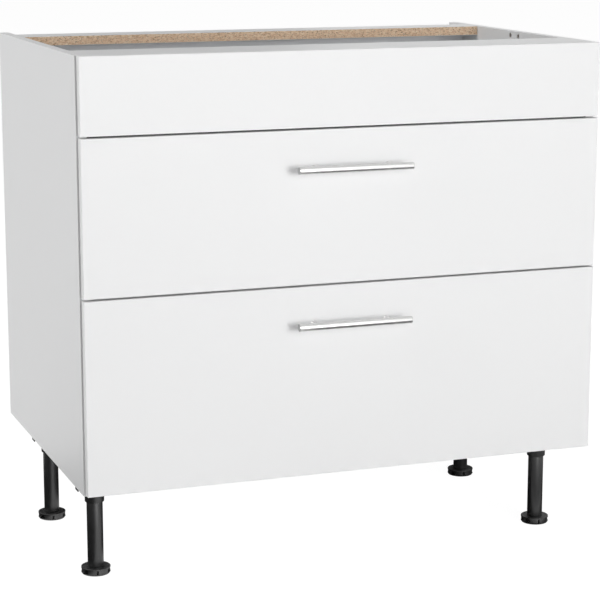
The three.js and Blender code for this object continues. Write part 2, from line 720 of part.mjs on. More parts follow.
// Front connector: a plate on the front with a channel that plugs into the hollow side,
// and a tower whose cup holds the gallery rail.
function frontConnector(base) {
  const t = CONNECTOR_STEEL;
  const face = FRONT_THICKNESS + FIT;
  const outer = SIDE_STANDOFF + SIDE_STEEL + DRAWER_FRONT_CLEARANCE;
  const inner = SIDE_INNER - SIDE_STEEL - DRAWER_FRONT_CLEARANCE;
  const plan = (points) => outline(points.map(([inward, y]) => [INNER_FACE - inward, y]));
  const low = base + SIDE_BASE + SIDE_STEEL + FIT;
  const high = base + GALLERY_AXIS + CONNECTOR_TOWER;
  const channelLow = base + SIDE_TOP - SIDE_TOP_RADIUS - CONNECTOR_HEIGHT;
  const channel = alongZ(plan([
    [outer, face],
    [inner, face],
    [inner, face + CONNECTOR_LENGTH],
    [inner - t, face + CONNECTOR_LENGTH],
    [inner - t, face + t],
    [outer + t, face + t],
    [outer + t, face + CONNECTOR_LENGTH],
    [outer, face + CONNECTOR_LENGTH],
  ]), channelLow, CONNECTOR_HEIGHT);
  const tower = alongY(outline([
    [INNER_FACE - inner, low, CONNECTOR_LOWER_CORNER],
    [INNER_FACE - outer, low, CONNECTOR_LOWER_CORNER],
    [INNER_FACE - outer, high, CONNECTOR_UPPER_CORNER],
    [INNER_FACE - inner, high, CONNECTOR_UPPER_CORNER],
  ]), face, t);
  const cup = lieAlongY(turned([
    [GALLERY_DIAMETER / 2 + FIT, face + t / 2],
    [GALLERY_CAP_DIAMETER / 2, face + t / 2],
    [GALLERY_CAP_DIAMETER / 2, face + t + GALLERY_CAP_LENGTH],
    [GALLERY_DIAMETER / 2 + FIT, face + t + GALLERY_CAP_LENGTH],
    [GALLERY_DIAMETER / 2 + FIT, face + t / 2],
  ], HOLE_SIDES)).translate(INNER_FACE - SIDE_CENTRE, 0, base + GALLERY_AXIS);
  return join([channel, tower, cup]);
}

// ---- Assembly -------------------------------------------------------------------------------------

placePair('side_panel', sidePanel(), WHITE_BOARD);
place('bottom_panel', bottomPanel(), WHITE_BOARD);
place('back_panel', backPanel(), BACK_BOARD);
const frontRailRear = CARCASS_FRONT + FRONT_RAIL_WIDTH;
const rearRailRear = REAR_RAIL_FRONT + REAR_RAIL_WIDTH;
place('front_rail', dowelledBoard(CARCASS_FRONT, frontRailRear, RAIL_LOW, frontRailDowels), WHITE_BOARD);
place('rear_rail', dowelledBoard(REAR_RAIL_FRONT, rearRailRear, RAIL_LOW, rearRailDowels), WHITE_BOARD);
place('blind_front', frontBoard(BLIND_BOTTOM, BLIND_HEIGHT), FRONT_BOARD);
placePair('blind_bracket', blindBracket(), ZINC_STEEL);

// The socket's arm is handed, so it is mirrored; tube and foot are round and keep the slots as moulded.
function placeLeg(name, side, y) {
  const x = CABINET_WIDTH / 2 - LEG_FROM_SIDE;
  const seat = new THREE.Group();
  seat.position.set(x, y, 0);
  (side < 0 ? leftHand : cabinet).add(seat);
  place(`${name}_leg_socket`, legSocket(), BLACK_PLASTIC, seat);
  const stand = new THREE.Group();
  stand.position.set(side * x, y, 0);
  cabinet.add(stand);
  place(`${name}_leg_tube`, legTube(), BLACK_PLASTIC, stand);
  place(`${name}_foot`, foot(), BLACK_PLASTIC, stand);
}

placeLeg('front_right', 1, CARCASS_FRONT + FRONT_LEG_INSET);
placeLeg('front_left', -1, CARCASS_FRONT + FRONT_LEG_INSET);
placeLeg('rear_right', 1, CARCASS_REAR - REAR_LEG_INSET);
placeLeg('rear_left', -1, CARCASS_REAR - REAR_LEG_INSET);

function placeDrawer(name, frontBottom, frontHeight) {
  const base = frontBottom + RUNNER_RISE;
  const handleHeight = frontBottom + frontHeight - HANDLE_DROP;
  place(`${name}_front`, drawerFront(frontBottom, frontHeight), FRONT_BOARD);
  place(`${name}_handle_bar`, handleBar(handleHeight), BRUSHED_STEEL);
  placePair(`${name}_handle_post`, handlePost(handleHeight), BRUSHED_STEEL);
  place(`${name}_box_bottom`, boxBottom(base), WHITE_BOARD);
  place(`${name}_box_back`, boxBack(base), WHITE_BOARD);
  placePair(`${name}_box_side`, boxSide(base), GREY_STEEL);
  placePair(`${name}_gallery_rail`, galleryRail(base), GREY_STEEL);
  placePair(`${name}_front_connector`, frontConnector(base), ZINC_STEEL);
  placePair(`${name}_runner_cabinet_member`, cabinetMember(base), ZINC_STEEL);
  placePair(`${name}_runner_middle_member`, middleMember(base), ZINC_STEEL);
  placePair(`${name}_runner_drawer_member`, drawerMember(base), ZINC_STEEL);
}

placeDrawer('upper', UPPER_FRONT_BOTTOM, UPPER_FRONT_HEIGHT);
placeDrawer('lower', LOWER_FRONT_BOTTOM, LOWER_FRONT_HEIGHT);

export default cabinet;
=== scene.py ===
import math

import bmesh
import bpy
from mathutils import Matrix, Vector


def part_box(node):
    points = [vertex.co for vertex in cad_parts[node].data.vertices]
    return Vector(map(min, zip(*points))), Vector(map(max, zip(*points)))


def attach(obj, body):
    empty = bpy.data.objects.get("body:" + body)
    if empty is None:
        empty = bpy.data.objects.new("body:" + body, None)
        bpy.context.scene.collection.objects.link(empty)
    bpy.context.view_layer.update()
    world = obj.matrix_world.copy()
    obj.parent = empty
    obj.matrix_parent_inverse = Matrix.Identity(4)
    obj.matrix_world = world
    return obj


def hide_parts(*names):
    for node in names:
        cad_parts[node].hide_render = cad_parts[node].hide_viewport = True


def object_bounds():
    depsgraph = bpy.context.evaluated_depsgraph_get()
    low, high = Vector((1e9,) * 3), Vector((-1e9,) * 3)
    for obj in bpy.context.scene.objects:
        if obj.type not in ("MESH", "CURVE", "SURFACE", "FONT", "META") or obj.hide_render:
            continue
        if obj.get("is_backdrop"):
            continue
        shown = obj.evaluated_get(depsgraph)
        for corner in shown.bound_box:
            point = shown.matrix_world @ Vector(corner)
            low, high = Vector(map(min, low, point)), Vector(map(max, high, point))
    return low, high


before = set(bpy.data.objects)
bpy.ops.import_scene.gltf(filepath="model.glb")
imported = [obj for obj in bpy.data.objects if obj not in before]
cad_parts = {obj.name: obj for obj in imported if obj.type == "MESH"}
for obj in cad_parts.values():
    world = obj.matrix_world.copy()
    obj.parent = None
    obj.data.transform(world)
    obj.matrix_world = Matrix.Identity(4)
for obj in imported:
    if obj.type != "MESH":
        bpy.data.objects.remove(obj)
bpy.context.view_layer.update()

# ---- Camera ----------------------------------------------------------------------------------------
# A long lens from the front left, a little higher than the cabinet, as the photograph was taken.
# Its place, turn and lens were fitted to the straight edges of the cabinet.
VIEW_POINT = (-1.1745, -3.2584, 1.1087)
VIEW_TURN = math.radians(20.02)
VIEW_TILT = math.radians(11.45)
VIEW_LENS = 119.36
VIEW_REACH = 200
FILM_WIDTH = 36

camera = bpy.data.objects.new("camera", bpy.data.cameras.new("camera"))
camera.data.lens = VIEW_LENS
camera.data.sensor_width = FILM_WIDTH
camera.data.clip_end = VIEW_REACH
camera.location = VIEW_POINT
camera.rotation_euler = (math.pi / 2 - VIEW_TILT, 0, -VIEW_TURN)
bpy.context.scene.collection.objects.link(camera)
bpy.context.scene.camera = camera
bpy.context.scene.view_settings.view_transform = "Standard"

# ---- Side panels, bottom and rails -----------------------------------------------------------------
# Sawn 16 mm chipboard with white melamine on both faces and a white band on the edges in sight.
# The rear edges and the front edge of the rear rail show the raw chips. In the drillings and the
# grooves the chips are mostly painted over in pale grey: painted light that lifts the shade there.
MELAMINE = (0.845, 0.848, 0.85, 1)
MELAMINE_SHADED = (0.825, 0.829, 0.832, 1)
MELAMINE_ROUGHNESS = 0.4
CHIP_STOPS = (
    (0.0, (0.26, 0.145, 0.075, 1)),
    (0.12, (0.54, 0.335, 0.20, 1)),
    (0.35, (0.78, 0.535, 0.35, 1)),
    (0.62, (0.87, 0.65, 0.455, 1)),
    (0.85, (0.92, 0.74, 0.56, 1)),
    (1.0, (0.95, 0.85, 0.70, 1)),
)
CHIP_LENGTH = 0.0034
CHIP_FLATNESS = 2.3
CHIP_SHARE = 0.62
CHIP_ROUGHER = 0.4
FINE_CHIP = CHIP_LENGTH / 2.6
FINE_SHARE = 0.26
SPLINTER = CHIP_LENGTH / 5
SPLINTER_SHARE = 0.12
BARK = (0.10, 0.05, 0.025, 1)
BARK_LENGTH = CHIP_LENGTH / 2.1
BARK_RARITY = 0.94
BARK_COVER = 0.75
# Pale grey painted into the drillings and grooves: painted light that lifts the shade in them.
HOLE_PAINTED_LIGHT = (0.72, 0.705, 0.69, 1)
HOLE_PAINTED_LIGHT_SHARE = 0.9
CLOUD_SIZE = 0.35
CLOUD_SWING = 0.05
PEARL_SIZE = 0.0011
PEARL_SHARE = 0.25
BOARD_RELIEF = (0.35, 0.00022)
FACING = 0.00035
EDGE_SKIN = 0.0001
CUT_DEPTH = 0.0006


class Wire:
    """One socket of a material's nodes, which can be reckoned with like a number."""

    def __init__(self, socket):
        self.socket = socket
        self.tree = socket.id_data

    @classmethod
    def node(cls, tree, kind, settings=None, inputs=None, output=0):
        """Adds a node. Its settings are set first, then its sockets get their values or links."""
        made = tree.nodes.new(kind)
        for name, value in (settings or {}).items():
            if name == "stops":
                for place, colour in value[2:]:
                    made.color_ramp.elements.new(place)
                for stop, (place, colour) in zip(made.color_ramp.elements, value):
                    stop.position = place
                    stop.color = colour
            else:
                setattr(made, name, value)
        for name, value in (inputs or {}).items():
            if isinstance(value, Wire):
                tree.links.new(value.socket, made.inputs[name])
            else:
                made.inputs[name].default_value = value
        return cls(made.outputs[output]) if made.outputs else None

    def maths(self, operation, first, second):
        settings = {"operation": operation}
        return Wire.node(self.tree, "ShaderNodeMath", settings, {0: first, 1: second})

    def __add__(self, other):
        return self.maths("ADD", self, other)

    __radd__ = __add__

    def __sub__(self, other):
        return self.maths("SUBTRACT", self, other)

    def __rsub__(self, other):
        return self.maths("SUBTRACT", other, self)

    def __mul__(self, other):
        return self.maths("MULTIPLY", self, other)

    __rmul__ = __mul__

    def __gt__(self, other):
        return self.maths("GREATER_THAN", self, other)

    def __lt__(self, other):
        return self.maths("LESS_THAN", self, other)

    def __or__(self, other):
        return self.maths("MAXIMUM", self, other)

    def mix(self, low, high):
        """The colour low where this is 0, and high where it is 1."""
        inputs = {0: self, 6: low, 7: high}
        return Wire.node(self.tree, "ShaderNodeMix", {"data_type": "RGBA"}, inputs, 2)


def new_finish(name):
    """A new material's node tree, with the object's own coordinates."""
    material = bpy.data.materials.new(name)
    material.use_nodes = True
    tree = material.node_tree
    tree.nodes.clear()
    return material, tree, Wire.node(tree, "ShaderNodeTexCoord", {}, {}, "Object")


def surface(tree, inputs):
    """Ends a material with its shader."""
    shader = Wire.node(tree, "ShaderNodeBsdfPrincipled", {}, inputs)
    Wire.node(tree, "ShaderNodeOutputMaterial", {}, {"Surface": shader})


def noise(tree, place, size, detail=2.0, roughness=0.5):
    """Soft noise from 0 to 1 whose lumps are about size across."""
    inputs = {"Vector": place, "Scale": 1 / size, "Detail": detail, "Roughness": roughness}
    return Wire.node(tree, "ShaderNodeTexNoise", {}, inputs)


def flakes(tree, place, size):
    """A random number from 0 to 1 for each cell about size across."""
    inputs = {"Vector": place, "Scale": 1 / size, "Randomness": 1.0}
    cells = Wire.node(tree, "ShaderNodeTexVoronoi", {}, inputs, "Color")
    return Wire.node(tree, "ShaderNodeSeparateColor", {}, {0: cells}, "Red")


def swing(pattern, amount):
    """A pattern from 0 to 1 as a swing about zero, amount from end to end."""
    return (pattern - 0.5) * amount


def stretched(tree, place, factors):
    inputs = {0: place, 1: factors}
    return Wire.node(tree, "ShaderNodeVectorMath", {"operation": "MULTIPLY"}, inputs)


def bumped(tree, height, strength, depth):
    inputs = {"Strength": strength, "Distance": depth, "Height": height}
    return Wire.node(tree, "ShaderNodeBump", {}, inputs)


def board(node, thin, raw, face, shaded, roughness):
    """Faced chipboard. thin is the axis across it, and raw names the sides left unbanded, as +Y."""
    low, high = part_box(node)
    material, tree, place = new_finish(node)
    along = {a: Wire.node(tree, "ShaderNodeSeparateXYZ", {}, {0: place}, a) for a in "XYZ"}
    drilled = 1.0
    for a, bottom, top in zip("XYZ", low, high):
        drilled = (along[a] > bottom + CUT_DEPTH) * (along[a] < top - CUT_DEPTH) * drilled
    bare = drilled
    for way, a in raw:
        i = "XYZ".index(a)
        sawn = along[a] > high[i] - EDGE_SKIN if way == "+" else along[a] < low[i] + EDGE_SKIN
        bare = bare | sawn
    i = "XYZ".index(thin)
    bare = bare * (along[thin] > low[i] + FACING) * (along[thin] < high[i] - FACING)
    strewn = stretched(tree, place, [CHIP_FLATNESS if a == thin else 1 for a in "XYZ"])
    chips = flakes(tree, strewn, CHIP_LENGTH)
    fine = flakes(tree, strewn, FINE_CHIP)
    splinters = noise(tree, strewn, SPLINTER)
    shade = chips * CHIP_SHARE + fine * FINE_SHARE + splinters * SPLINTER_SHARE
    wood = Wire.node(tree, "ShaderNodeValToRGB", {"stops": CHIP_STOPS}, {0: shade})
    speck = (flakes(tree, strewn, BARK_LENGTH) > BARK_RARITY) * BARK_COVER
    # Drillings and grooves are mostly painted pale grey here: painted light against the shade inside
    # them.
    wood = (drilled * HOLE_PAINTED_LIGHT_SHARE).mix(speck.mix(wood, BARK), HOLE_PAINTED_LIGHT)
    cloud = noise(tree, place, CLOUD_SIZE)
    pearl = noise(tree, place, PEARL_SIZE)
    relief = pearl * (1 - bare) * PEARL_SHARE + shade * bare
    surface(tree, {
        "Base Color": bare.mix(cloud.mix(shaded, face), wood),
        "Roughness": roughness + bare * CHIP_ROUGHER + swing(cloud, CLOUD_SWING),
        "Normal": bumped(tree, relief, *BOARD_RELIEF),
    })
    return material


def clad(node, material):
    """Puts a material on a CAD node."""
    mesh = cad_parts[node].data
    mesh.materials.clear()
    mesh.materials.append(material)


for node, thin, raw in (
    ("side_panel_left", "X", ("+Y",)),
    ("side_panel_right", "X", ("+Y",)),
    ("bottom_panel", "Z", ("+Y",)),
    ("front_rail", "Z", ("+Y",)),
    ("rear_rail", "Z", ("-Y", "+Y")),
):
    clad(node, board(node, thin, raw, MELAMINE, MELAMINE_SHADED, MELAMINE_ROUGHNESS))

# ---- Back panel ------------------------------------------------------------------------------------
# Hard fibreboard 3 mm thick, lacquered white on the side that faces the drawers and brown behind.
# It stands in grooves in the side panels and the bottom.
LACQUER = (0.885, 0.893, 0.905, 1)
LACQUER_SHADED = (0.87, 0.878, 0.89, 1)
LACQUER_ROUGHNESS = 0.5
LACQUER_GRAIN = 0.15
FIBRE_PALE = (0.30, 0.175, 0.095, 1)
FIBRE_DARK = (0.19, 0.10, 0.05, 1)
FIBRE_WIDTH = 0.0016
FIBRE_ROUGHER = 0.3
FIBRE_RELIEF = (0.3, 0.0002)
MOTTLE_SIZE = 0.04

material, tree, place = new_finish("back_panel")
depth = Wire.node(tree, "ShaderNodeSeparateXYZ", {}, {0: place}, "Y")
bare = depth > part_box("back_panel")[0].y + FACING
fibre = noise(tree, place, FIBRE_WIDTH, 4.0, 0.7)
mottle = noise(tree, place, MOTTLE_SIZE, 3.0)
brown = (fibre * 0.7 + mottle * 0.5 - 0.1).mix(FIBRE_DARK, FIBRE_PALE)
surface(tree, {
    "Base Color": bare.mix(mottle.mix(LACQUER_SHADED, LACQUER), brown),
    "Roughness": LACQUER_ROUGHNESS + bare * FIBRE_ROUGHER,
    "Normal": bumped(tree, fibre * (LACQUER_GRAIN + bare), *FIBRE_RELIEF),
})
clad("back_panel", material)

# ---- Legs ------------------------------------------------------------------------------------------
# Black moulded plastic: a socket screwed under the bottom panel, a push-in tube and a foot that
# screws out of the tube on a coarse thread. Slots round the foot take a spanner.
BLACK = (0.006, 0.0061, 0.0063, 1)
BLACK_WORN = (0.0095, 0.0097, 0.010, 1)
PLASTIC_SHINE = 0.85
SOCKET_ROUGHNESS = 0.42
TUBE_ROUGHNESS = 0.4
FOOT_ROUGHNESS = 0.42
MOULD_GRAIN = 0.0006
MOULD_WEAR = 0.018
MOULD_SWING = 0.12
MOULD_RELIEF = (0.25, 0.00006)
LEG_PLATE_HALF = 0.031
LEG_PLATE_THICKNESS = 0.003
LEG_PLATE_EASE = 0.0005
LEG_ARM_FORWARD = 0.046
LEG_ARM_WIDTH = 0.022
LEG_REACH = 0.041
LEG_ARM_CORNER = 0.002
LEG_ARM_LIP = 0.002
CUP_RADIUS = 0.0162
CUP_BORE = 0.0138
CUP_CHAMFER = 0.001
CUP_EASE = 0.0003
GUSSET_ROOT = 0.001
GUSSET_INSET = 0.001
GUSSET_HEIGHT = 0.024
GUSSET_HALF = 0.00125
TUBE_RADIUS = 0.0135
TUBE_BORE = 0.0115
TUBE_EASE = 0.0004
BUSH_BORE = 0.0083
BUSH_LENGTH = 0.033
FOOT_RADIUS = 0.0245
FOOT_HEIGHT = 0.012
FOOT_RIM = 0.0024
FOOT_WAIST_STEP = 0.0006
FOOT_TAPER = 0.0016
FOOT_EASE = 0.0005
FOOT_SLOTS = ((-6.5, 7.5), (57.5, 32))
FOOT_SLOT_REPEATS = 3
FOOT_SLOT_DEPTH = 0.008
FOOT_SLOT_STEPS = 8
CUT_BEYOND = 0.001
THREAD_CREST = 0.008
THREAD_ROOT = 0.0071
THREAD_PITCH = 0.003
THREAD_PROFILE = (
    (THREAD_ROOT, 0),
    (THREAD_ROOT, 0.28),
    (THREAD_CREST, 0.5),
    (THREAD_CREST, 0.72),
    (THREAD_ROOT, 1),
)
THREAD_STEPS = 32
STEM_SEAT = 0.0005
STEM_TOP = 0.057
ROUND = 72
QUARTER_TURN = math.pi / 2
SOFTEN_ABOVE = math.radians(28)
CREASE = math.radians(32)
SAME_PLACE = 1e-6


def moulded(name, colour, worn, roughness, shine):
    """Moulded plastic, or the black strip of painted shade, with a fine spark-eroded grain and
    slightly paler wear.
    """
    material, tree, place = new_finish(name)
    grain = noise(tree, place, MOULD_GRAIN)
    wear = noise(tree, place, MOULD_WEAR, 4.0, 0.65)
    surface(tree, {
        "Base Color": wear.mix(colour, worn),
        "Roughness": roughness + swing(wear, MOULD_SWING),
        "Specular IOR Level": shine,
        "Normal": bumped(tree, grain, *MOULD_RELIEF),
    })
    return material


def turned(profile, closed=False, steps=ROUND):
    """A profile of (radius, height) points turned round the Z axis."""
    bm = bmesh.new()
    points = [bm.verts.new((radius, 0, height)) for radius, height in profile]
    pairs = list(zip(points, points[1:]))
    if closed:
        pairs.append((points[-1], points[0]))
    lines = [bm.edges.new(pair) for pair in pairs]
    bmesh.ops.spin(bm, geom=points + lines, axis=(0, 0, 1), cent=(0, 0, 0), angle=2 * math.pi,
                   steps=steps, use_merge=True)
    bmesh.ops.remove_doubles(bm, verts=bm.verts, dist=SAME_PLACE)
    bmesh.ops.recalc_face_normals(bm, faces=bm.faces)
    return bm


def rounded(bm, edges, radius, segments=6):
    bmesh.ops.bevel(bm, geom=edges, offset=radius, offset_type="OFFSET", segments=segments,
                    profile=0.5, affect="EDGES", clamp_overlap=True, material=-1)


def soften(bm, radius, segments=2):
    """Rounds every edge that turns by more than SOFTEN_ABOVE."""
    sharp = [e for e in bm.edges if len(e.link_faces) == 2 and e.calc_face_angle(0) > SOFTEN_ABOVE]
    rounded(bm, sharp, radius, segments)


def raised(outline, bottom, top):
    """A flat outline of (x, y) points drawn up from bottom to top."""
    bm = bmesh.new()
    base = bm.faces.new([bm.verts.new((x, y, bottom)) for x, y in outline])
    drawn = bmesh.ops.extrude_face_region(bm, geom=[base])["geom"]
    lifted = [v for v in drawn if isinstance(v, bmesh.types.BMVert)]
    bmesh.ops.translate(bm, vec=(0, 0, top - bottom), verts=lifted)
    bmesh.ops.recalc_face_normals(bm, faces=bm.faces)
    return bm


def upright_edges(bm, chosen):
    """The edges along Z whose place passes the test chosen(x, y)."""
    found = []
    for e in bm.edges:
        a, b = (v.co for v in e.verts)
        if (a - b).xy.length < SAME_PLACE and chosen(a.x, a.y):
            found.append(e)
    return found


def swung(bm, angle, axis):
    """bm turned by angle round the X, Y or Z axis."""
    turn = Matrix.Rotation(angle, 3, axis)
    bmesh.ops.rotate(bm, cent=(0, 0, 0), matrix=turn, verts=bm.verts)
    return bm


def moved(bm, offset, mirrored=False):
    """bm shifted by offset, and first mirrored across X if asked."""
    if mirrored:
        bmesh.ops.scale(bm, vec=(-1, 1, 1), verts=bm.verts)
        bmesh.ops.recalc_face_normals(bm, faces=bm.faces)
    bmesh.ops.translate(bm, vec=offset, verts=bm.verts)
    return bm


def added(bm, other):
    """bm with the faces of other beside its own."""
    mesh = bpy.data.meshes.new("part")
    other.to_mesh(mesh)
    other.free()
    bm.from_mesh(mesh)
    bpy.data.meshes.remove(mesh)
    return bm


def placed(name, bm):
    """A new object of the scene, made of bm."""
    mesh = bpy.data.meshes.new(name)
    bm.to_mesh(mesh)
    bm.free()
    made = bpy.data.objects.new(name, mesh)
    bpy.context.scene.collection.objects.link(made)
    return made


def combined(bm, others, operation):
    """bm with the other bmeshes cut from it (DIFFERENCE) or fused with it (UNION)."""
    parts = [placed("part", part) for part in (bm, *others)]
    for other in parts[1:]:
        step = parts[0].modifiers.new("step", "BOOLEAN")
        step.operation = operation
        step.solver = "EXACT"
        step.object = other
    depsgraph = bpy.context.evaluated_depsgraph_get()
    whole = bpy.data.meshes.new_from_object(parts[0].evaluated_get(depsgraph))
    result = bmesh.new()
    result.from_mesh(whole)
    for part in parts:
        mesh = part.data
        bpy.data.objects.remove(part)
        bpy.data.meshes.remove(mesh)
    bpy.data.meshes.remove(whole)
    bmesh.ops.remove_doubles(result, verts=result.verts, dist=SAME_PLACE)
    bmesh.ops.dissolve_degenerate(result, edges=result.edges, dist=SAME_PLACE)
    return result


def made_piece(name, bm, material, body, nodes=()):
    """Makes a piece of bm, with its finish, its body and the CAD nodes it stands for."""
    for face in bm.faces:
        face.smooth = True
    for edge in bm.edges:
        edge.smooth = len(edge.link_faces) == 2 and edge.calc_face_angle(0) < CREASE
    piece = placed(name, bm)
    piece.data.materials.append(material)
    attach(piece, body)
    if nodes:
        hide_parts(*nodes)


def leg_socket(plate_top, mouth):
    """Plate with an arm under the side panel on the +X side, four gussets and the cup."""
    under = plate_top - LEG_PLATE_THICKNESS
    inner = under + LEG_PLATE_THICKNESS / 2
    half = LEG_PLATE_HALF
    rear = -LEG_ARM_FORWARD + LEG_ARM_WIDTH / 2
    front = -LEG_ARM_FORWARD - LEG_ARM_WIDTH / 2
    shoulder = LEG_REACH - LEG_ARM_WIDTH / 2
    plate = raised([(-half, -half), (half / 2, -half), (shoulder, front), (LEG_REACH, front),
                    (LEG_REACH, rear), (half, rear / 2), (half, half), (-half, half)],
                   under, plate_top)
    arm_end = upright_edges(plate, lambda x, y: abs(x - LEG_REACH) < SAME_PLACE)
    rounded(plate, arm_end, LEG_ARM_CORNER)
    soften(plate, LEG_PLATE_EASE)
    cup = turned([(CUP_BORE, mouth), (CUP_RADIUS - CUP_CHAMFER, mouth),
                  (CUP_RADIUS, mouth + CUP_CHAMFER), (CUP_RADIUS, inner), (CUP_BORE, inner)],
                 closed=True)
    soften(cup, CUP_EASE)
    root, toe = CUP_RADIUS - GUSSET_ROOT, half - GUSSET_INSET
    ribs = []
    for quarter in range(4):
        rib = raised([(root, inner), (root, under - GUSSET_HEIGHT), (toe, under), (toe, inner)],
                     -GUSSET_HALF, GUSSET_HALF)
        swung(rib, QUARTER_TURN, "X")
        swung(rib, quarter * QUARTER_TURN, "Z")
        bmesh.ops.recalc_face_normals(rib, faces=rib.faces)
        ribs.append(rib)
    tip = LEG_REACH - LEG_PLATE_THICKNESS / 2
    lip = raised([(tip, front + LEG_ARM_CORNER), (LEG_REACH, front + LEG_ARM_CORNER),
                  (LEG_REACH, rear - LEG_ARM_CORNER), (tip, rear - LEG_ARM_CORNER)],
                 under - LEG_ARM_LIP, inner)
    return combined(plate, [cup, lip, *ribs], "UNION")


def foot_sector(middle, width, inner, outer, low, high):
    """A block of a ring, its middle counted in degrees from -Y towards +X."""
    bm = bmesh.new()
    corners = ((inner, 0, low), (outer, 0, low), (outer, 0, high), (inner, 0, high))
    face = bm.faces.new([bm.verts.new(corner) for corner in corners])
    swung(bm, math.radians(middle - width / 2 - 90), "Z")
    bmesh.ops.spin(bm, geom=[face, *face.edges, *face.verts], axis=(0, 0, 1), cent=(0, 0, 0),
                   angle=math.radians(width), steps=FOOT_SLOT_STEPS)
    bmesh.ops.recalc_face_normals(bm, faces=bm.faces)
    return bm


def foot_disc():
    """Two rims with a waist between them, and spanner slots through the waist."""
    waist = FOOT_RADIUS - FOOT_WAIST_STEP
    upper_rim = FOOT_HEIGHT - FOOT_RIM
    disc = turned([(0, 0), (FOOT_RADIUS - FOOT_TAPER, 0), (FOOT_RADIUS, FOOT_RIM),
                   (waist, FOOT_RIM), (waist, upper_rim), (FOOT_RADIUS, upper_rim),
                   (FOOT_RADIUS, FOOT_HEIGHT - FOOT_EASE), (FOOT_RADIUS - FOOT_EASE, FOOT_HEIGHT),
                   (0, FOOT_HEIGHT)])
    slots = []
    for repeat in range(FOOT_SLOT_REPEATS):
        for middle, width in FOOT_SLOTS:
            turn = middle + repeat * 360 / FOOT_SLOT_REPEATS
            slots.append(foot_sector(turn, width, FOOT_RADIUS - FOOT_SLOT_DEPTH,
                                     FOOT_RADIUS + CUT_BEYOND, FOOT_RIM, upper_rim))
    return combined(disc, slots, "DIFFERENCE")


def threaded_stem(bottom, top):
    """Coarse round thread: one pitch of its profile wound up the stem, then cut off square."""
    bm = bmesh.new()
    start = bottom - 2 * THREAD_PITCH
    points = [bm.verts.new((radius, 0, start + share * THREAD_PITCH))
              for radius, share in THREAD_PROFILE]
    lines = [bm.edges.new(pair) for pair in zip(points, points[1:])]
    turns = math.ceil((top - start) / THREAD_PITCH) + 1
    bmesh.ops.spin(bm, geom=points + lines, axis=(0, 0, 1), cent=(0, 0, 0),
                   angle=turns * 2 * math.pi, dvec=(0, 0, THREAD_PITCH / THREAD_STEPS),
                   steps=turns * THREAD_STEPS)
    bmesh.ops.remove_doubles(bm, verts=bm.verts, dist=SAME_PLACE)
    for height, outwards in ((bottom, -1), (top, 1)):
        geom = [*bm.verts, *bm.edges, *bm.faces]
        cut = bmesh.ops.bisect_plane(bm, geom=geom, dist=1e-7, plane_co=(0, 0, height),
                                     plane_no=(0, 0, outwards), clear_outer=True)
        rim = [e for e in cut["geom_cut"] if isinstance(e, bmesh.types.BMEdge)]
        bmesh.ops.edgeloop_fill(bm, edges=rim)
    bmesh.ops.recalc_face_normals(bm, faces=bm.faces)
    return bm


socket_plastic = moulded("socket_plastic", BLACK, BLACK_WORN, SOCKET_ROUGHNESS, PLASTIC_SHINE)
tube_plastic = moulded("tube_plastic", BLACK, BLACK_WORN, TUBE_ROUGHNESS, PLASTIC_SHINE)
foot_plastic = moulded("foot_plastic", BLACK, BLACK_WORN, FOOT_ROUGHNESS, PLASTIC_SHINE)
leg_axes = {}
for corner in ("front_left", "front_right", "rear_left", "rear_right"):
    low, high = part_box(f"{corner}_foot")
    axis = Vector(((low.x + high.x) / 2, (low.y + high.y) / 2, 0))
    leg_axes[corner] = axis
    low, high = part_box(f"{corner}_leg_socket")
    socket = moved(leg_socket(high.z, low.z), axis, mirrored=axis.x < 0)
    made_piece(f"{corner}_socket", socket, socket_plastic, "carcass",
               [f"{corner}_leg_socket"])
    low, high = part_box(f"{corner}_leg_tube")
    bush = low.z + BUSH_LENGTH
    tube = turned([(BUSH_BORE, low.z), (TUBE_RADIUS, low.z), (TUBE_RADIUS, high.z),
                   (TUBE_BORE, high.z), (TUBE_BORE, bush), (BUSH_BORE, bush)], closed=True)
    soften(tube, TUBE_EASE)
    made_piece(f"{corner}_tube", moved(tube, axis), tube_plastic, "carcass",
               [f"{corner}_leg_tube"])
    foot = added(foot_disc(), threaded_stem(FOOT_HEIGHT - STEM_SEAT, STEM_TOP))
    made_piece(f"{corner}_levelling_foot", moved(foot, axis), foot_plastic, f"{corner}_foot_body",
               [f"{corner}_foot"])

# ---- Steel fittings --------------------------------------------------------------------------------
# Zinc-plated sheet: the folded angles of the blind front and the three members of each runner.
# The plating is bright with a faint cloudy spangle and fine rolling lines along the sheet.
ZINC = (0.60, 0.61, 0.63, 1)
ZINC_CLOUDED = (0.50, 0.515, 0.54, 1)
ZINC_RELIEF = (0.15, 0.00005)
RUNNER_ROUGHNESS = 0.34
BRACKET_ROUGHNESS = 0.3
SPANGLE_SIZE = 0.012
SPANGLE_SWING = 0.16
ROLLING_WIDTH = 0.0007
ROLLING_DRAW = (1, 0.03, 1)
ROLLING_SWING = 0.1


def zinc_plated(name, roughness):
    material, tree, place = new_finish(name)
    cloud = noise(tree, place, SPANGLE_SIZE, 3.0)
    lines = noise(tree, stretched(tree, place, ROLLING_DRAW), ROLLING_WIDTH)
    surface(tree, {
        "Base Color": (cloud * 0.8 + lines * 0.3 - 0.05).mix(ZINC_CLOUDED, ZINC),
        "Metallic": 1.0,
        "Roughness": roughness + swing(cloud, SPANGLE_SWING) + swing(lines, ROLLING_SWING),
        "Normal": bumped(tree, lines, *ZINC_RELIEF),
    })
    return material


runner_zinc = zinc_plated("runner_zinc", RUNNER_ROUGHNESS)
bracket_zinc = zinc_plated("bracket_zinc", BRACKET_ROUGHNESS)
for side in ("left", "right"):
    clad(f"blind_bracket_{side}", bracket_zinc)
    for level in ("upper", "lower"):
        for member in ("cabinet", "middle", "drawer"):
            clad(f"{level}_runner_{member}_member_{side}", runner_zinc)

